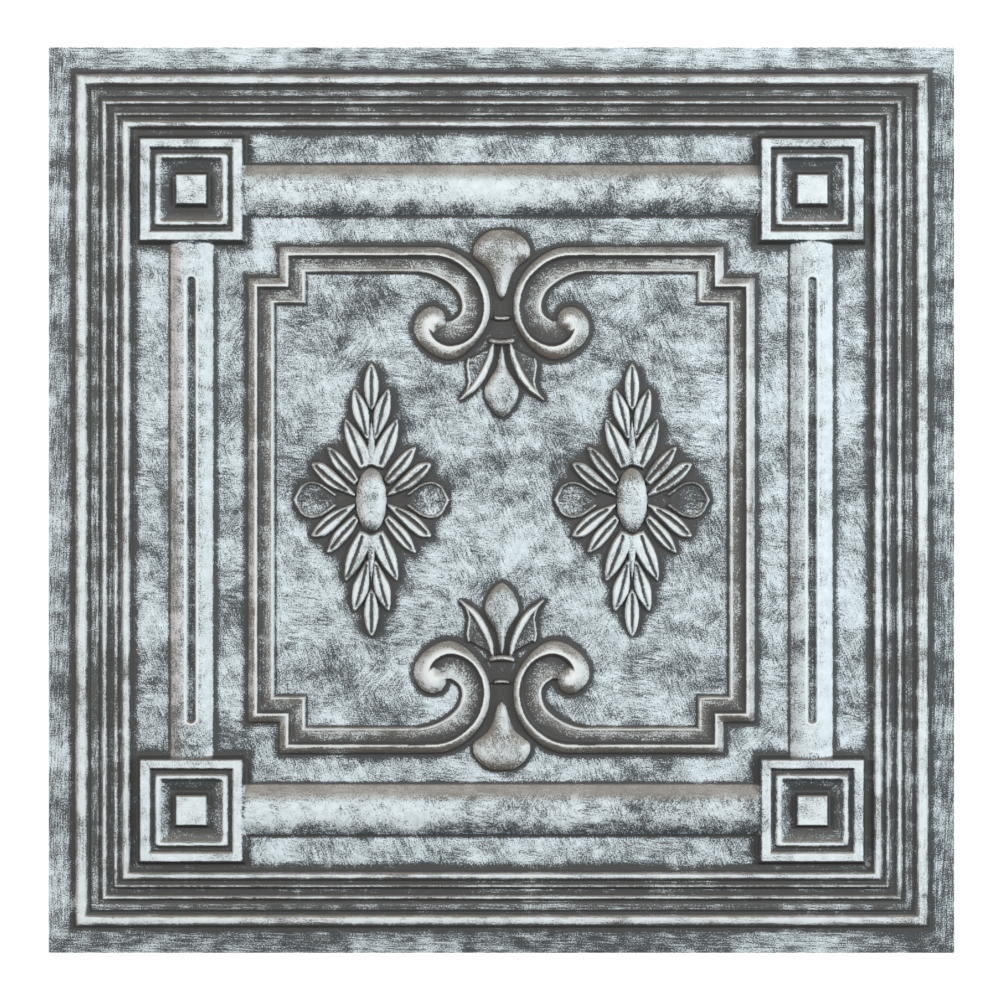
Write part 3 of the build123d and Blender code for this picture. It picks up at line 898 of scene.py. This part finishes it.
class CEILINGTILE_OT_bars(bpy.types.Operator):
    """Two plain bars along X and two slotted bars along Y"""

    bl_idname = "ceiling_tile.bars"
    bl_label = "Bars"

    def execute(self, context):
        across = ROW + np.arange(-36, 37) * BLOCK_PITCH
        top = blurred(bar_height(across - ROW, BAR_HALF), BLOCK_PITCH)
        x, y = np.meshgrid(np.linspace(-BLOCK_IN, BLOCK_IN, 34), across)
        height = top[:, None] + np.zeros(x.shape)
        touch = np.where(np.abs(y - ROW) < BAR_HALF, bar_touch(y - ROW, BAR_HALF), open_touch(x, y))
        for side, word in UPRIGHT:
            add_sheet(f"plain_bar_{word}", x, y * side, height, touch)

        across = ROW + np.arange(-32, 33) * BLOCK_PITCH
        ends = [-BLOCK_IN, -SLOT_END - 6, -SLOT_END + 3, SLOT_END - 3, SLOT_END + 6, BLOCK_IN]
        along = ticks(ends, [2, 18, 30, 18, 2])
        x, y = np.meshgrid(across, along)
        top = blurred(bar_height(across - ROW, SLOTTED_HALF), BLOCK_PITCH)
        reach = np.hypot(np.clip(np.abs(y) - SLOT_END, 0, None), x - ROW)
        cut = smooth_step(reach, SLOT_HALF + 0.5, SLOT_HALF - 0.9)
        height = top - (top - 6.4) * cut
        lip = bell(reach - SLOT_HALF - 0.9, 0.8)
        for side, word in SIDEWAYS:
            beyond = open_touch(x * side, y)
            touch = np.where(np.abs(x - ROW) < SLOTTED_HALF, bar_touch(x - ROW, SLOTTED_HALF), beyond)
            touch += 0.45 * lip - 0.48 * cut - 0.05
            add_sheet(f"slotted_bar_{word}", x * side, y, height, touch, 1.2)
        return {"FINISHED"}


class CEILINGTILE_OT_frame_strips(bpy.types.Operator):
    """The straight runs of the centre frame, mitred round its notched corners"""

    bl_idname = "ceiling_tile.frame_strips"
    bl_label = "Frame strips"

    def execute(self, context):
        out, *profile = strip_profile()
        corners = [
            (SCROLL_X, CREST), (INNER_CREST, CREST), (INNER_CREST, INNER_CREST), (CREST, INNER_CREST)]
        corners += [(x, -y) for x, y in reversed(corners)]
        moves = [(0, 1), (1, 1), (1, 1), (1, 1), (1, -1), (1, -1), (1, -1), (0, -1)]
        counts = [10, 4, 4, 28, 4, 4, 10]
        paths = np.array(corners) + out[:, None, None] * np.array(moves)
        x, y = (np.stack([ticks(path[:, axis], counts) for path in paths]) for axis in (0, 1))
        piled = [values[:, None] + np.zeros(x.shape) for values in profile]
        upright = np.abs(np.gradient(y, axis=1)) > np.abs(np.gradient(x, axis=1))
        stroke = np.where(upright, 1.6, -0.6)
        for side, word in SIDEWAYS:
            add_sheet(f"frame_strip_{word}", x * side, y, *piled, stroke, warm=warmth(piled[0]))
        return {"FINISHED"}


class CEILINGTILE_OT_fleurs(bpy.types.Operator):
    """The scrolls that the frame runs into, with bulb, ties, bud and petals, above and below"""

    bl_idname = "ceiling_tile.fleurs"
    bl_label = "Scrolls and fleurs"

    def execute(self, context):
        x_lines = ticks([-SCROLL_X, -FLEUR_X, FLEUR_X, SCROLL_X], [60, 126, 60])
        places = [FLEUR_LOW, SCROLL_LOW, CREST + STRIP_IN, CREST + STRIP_OUT, FLEUR_TOP]
        y_lines = ticks(places, [78, 114, 48, 24])
        x, y = np.meshgrid(x_lines, y_lines)
        height, touch = (blurred(values, FINE) for values in fleur_section(x, y))
        touch += touched(height, FINE, 3.0) * smooth_step(SCROLL_X - np.abs(x), 2.0, 12.0)
        cell_x, cell_y = cell_middles(x_lines, y_lines)
        mask = (cell_x < FLEUR_X) | (cell_y > SCROLL_LOW)
        warm = warmth(height) * np.where((y < 101) & (np.abs(x) < 23), 0.4, 1.0)
        for side, word in UPRIGHT:
            add_sheet(f"scrolled_fleur_{word}", x, y * side, height, touch, mask=mask, skip=3, warm=warm)
        return {"FINISHED"}


class CEILINGTILE_OT_medallions(bpy.types.Operator):
    """Two leaf medallions, right and left of the tile's middle"""

    bl_idname = "ceiling_tile.medallions"
    bl_label = "Medallions"

    def execute(self, context):
        x_lines = ticks([-MEDALLION_X, -LEAF_X, LEAF_X, MEDALLION_X], [60, 96, 60])
        y_lines = ticks([-LEAF_Y, -MEDALLION_Y, MEDALLION_Y, LEAF_Y], [72, 234, 72])
        x, y = np.meshgrid(x_lines, y_lines)
        height, touch = (blurred(values, FINE) for values in medallion_section(x, y))
        rim = np.minimum(LEAF_X - np.abs(x), LEAF_Y - np.abs(y))
        rim = np.maximum(rim, np.minimum(MEDALLION_X - np.abs(x), MEDALLION_Y - np.abs(y)))
        touch += touched(height, FINE, 7.0) * smooth_step(rim, 0, 3)
        warm = 0.15 * warmth(height)
        cell_x, cell_y = cell_middles(x_lines, y_lines)
        mask = (cell_x < LEAF_X) | (cell_y < MEDALLION_Y)
        for side, word in SIDEWAYS:
            moved = x + side * MEDALLION
            add_sheet(f"leaf_medallion_{word}", moved, y, height, touch, mask=mask, skip=3, warm=warm)
        return {"FINISHED"}


class CEILINGTILE_OT_field(bpy.types.Operator):
    """The flat sheet between the raised forms, level at the field's height"""

    bl_idname = "ceiling_tile.field"
    bl_label = "Field"

    def execute(self, context):
        shared = [0, FLEUR_X, SCROLL_X, BLOCK_IN, BORDER_END]
        shared += [crest + edge for crest in (CREST, INNER_CREST) for edge in (STRIP_IN, STRIP_OUT)]
        own_x = [MEDALLION + LEAF_X, MEDALLION + MEDALLION_X, ROW - SLOTTED_PATCH, ROW + SLOTTED_PATCH]
        own_y = [FLEUR_LOW, MEDALLION_Y, SCROLL_LOW, LEAF_Y, ROW - BAR_PATCH, ROW + BAR_PATCH]
        lines = []
        for own in (own_x, own_y):
            places = sorted({round(place, 4) for place in shared + own})
            counts = [math.ceil((b - a) / 2.4) for a, b in zip(places[:-1], places[1:])]
            half = ticks(places, counts)
            lines.append(np.concatenate([-half[:0:-1], half]))
        x, y = np.meshgrid(*lines)
        cx, cy = cell_middles(*lines)
        out = out_of_frame(cx, cy)
        taken = (cx > BLOCK_IN) & (cy > BLOCK_IN)
        taken |= (cx < BLOCK_IN) & (np.abs(cy - ROW) < BAR_PATCH)
        taken |= (cy < BLOCK_IN) & (np.abs(cx - ROW) < SLOTTED_PATCH)
        taken |= (out > STRIP_IN) & (out < STRIP_OUT) & (cx > SCROLL_X)
        taken |= (cx < SCROLL_X) & (cy > SCROLL_LOW) & (cy < FLEUR_TOP)
        taken |= (cx < FLEUR_X) & (cy > FLEUR_LOW) & (cy < SCROLL_LOW)
        taken |= (np.abs(cx - MEDALLION) < MEDALLION_X) & (cy < MEDALLION_Y)
        taken |= (np.abs(cx - MEDALLION) < LEAF_X) & (cy < LEAF_Y)
        add_sheet("flat_field", x, y, np.full(x.shape, FIELD), open_touch(x, y), mask=~taken)
        return {"FINISHED"}


class CEILINGTILE_OT_stage(bpy.types.Operator):
    """Pale floor, soft studio light and the camera over the tile's face"""

    bl_idname = "ceiling_tile.stage"
    bl_label = "Stage"

    def execute(self, context):
        stage = context.scene.ceiling_tile_stage
        # The floor lies just under the tile's back, so that the two don't flicker
        side, low = FLOOR_HALF, -0.4 * MM
        mesh = bpy.data.meshes.new("floor")
        corners = [(-side, -side, low), (side, -side, low), (side, side, low), (-side, side, low)]
        mesh.from_pydata(corners, [], [(0, 1, 2, 3)])
        mesh.materials.append(pale_floor())
        floor = bpy.data.objects.new("floor", mesh)
        context.scene.collection.objects.link(floor)

        world = bpy.data.worlds.new("soft_room")
        world.use_nodes = True
        sky = world.node_tree.nodes["Background"].inputs
        sky["Color"].default_value = linear("#f0efec")
        sky["Strength"].default_value = ROOM_LIGHT
        context.scene.world = world

        # Place, width and height, power and colour, in metres and watts
        lamps = {
            "softbox_right": ((1.9, 0.5, 1.7), (0.8, 1.6), 62.0, "#fbfdff"),
            "softbox_left": ((-1.9, 0.5, 1.7), (0.8, 1.6), 44.0, "#fffaf7"),
        }
        for name, (spot, (wide, high), power, colour) in lamps.items():
            lamp = bpy.data.lights.new(name, "AREA")
            lamp.shape = "RECTANGLE"
            lamp.size, lamp.size_y = wide, high
            lamp.energy = power
            lamp.color = linear(colour)[:3]
            holder = bpy.data.objects.new(name, lamp)
            holder.location = spot
            holder.rotation_euler = (-holder.location).to_track_quat("-Z", "Y").to_euler()
            context.scene.collection.objects.link(holder)

        camera = bpy.data.cameras.new("camera")
        camera.sensor_width = 36.0
        camera.lens = camera.sensor_width * stage.camera_height / stage.frame_width
        camera.clip_start, camera.clip_end = 0.01, 50.0
        holder = bpy.data.objects.new("camera", camera)
        holder.location = (PHOTO_SHIFT * MM, 0.0, stage.camera_height + SHEET * MM)
        context.scene.collection.objects.link(holder)
        context.scene.camera = holder
        context.scene.view_settings.view_transform = "Standard"
        return {"FINISHED"}


PIECES = (
    CEILINGTILE_OT_border, CEILINGTILE_OT_blocks, CEILINGTILE_OT_bars, CEILINGTILE_OT_frame_strips,
    CEILINGTILE_OT_fleurs, CEILINGTILE_OT_medallions, CEILINGTILE_OT_field, CEILINGTILE_OT_stage,
)


class CEILINGTILE_PT_panel(bpy.types.Panel):
    """Lists the tile's settings and the steps that build it"""

    bl_idname = "CEILINGTILE_PT_panel"
    bl_label = "Ceiling Tile"
    bl_space_type = "VIEW_3D"
    bl_region_type = "UI"
    bl_category = "Ceiling Tile"

    def draw(self, context):
        for name, group in GROUPS.items():
            box = self.layout.box()
            for key in group.__annotations__:
                box.prop(getattr(context.scene, name), key)
        for piece in PIECES:
            self.layout.operator(piece.bl_idname)


GROUPS = {
    "ceiling_tile_sheet": CeilingTileSheetSettings,
    "ceiling_tile_finish": CeilingTileFinishSettings,
    "ceiling_tile_stage": CeilingTileStageSettings,
}
CLASSES = (*GROUPS.values(), *PIECES, CEILINGTILE_PT_panel)


def register():
    for kind in CLASSES:
        bpy.utils.register_class(kind)
    for key, group in GROUPS.items():
        setattr(bpy.types.Scene, key, bpy.props.PointerProperty(type=group))


def unregister():
    for key in GROUPS:
        delattr(bpy.types.Scene, key)
    for kind in reversed(CLASSES):
        bpy.utils.unregister_class(kind)


def main():
    """Build every piece and the stage."""
    register()
    for piece in PIECES:
        getattr(bpy.ops.ceiling_tile, piece.bl_idname.split(".")[1])()


if __name__ == "__main__":
    main()
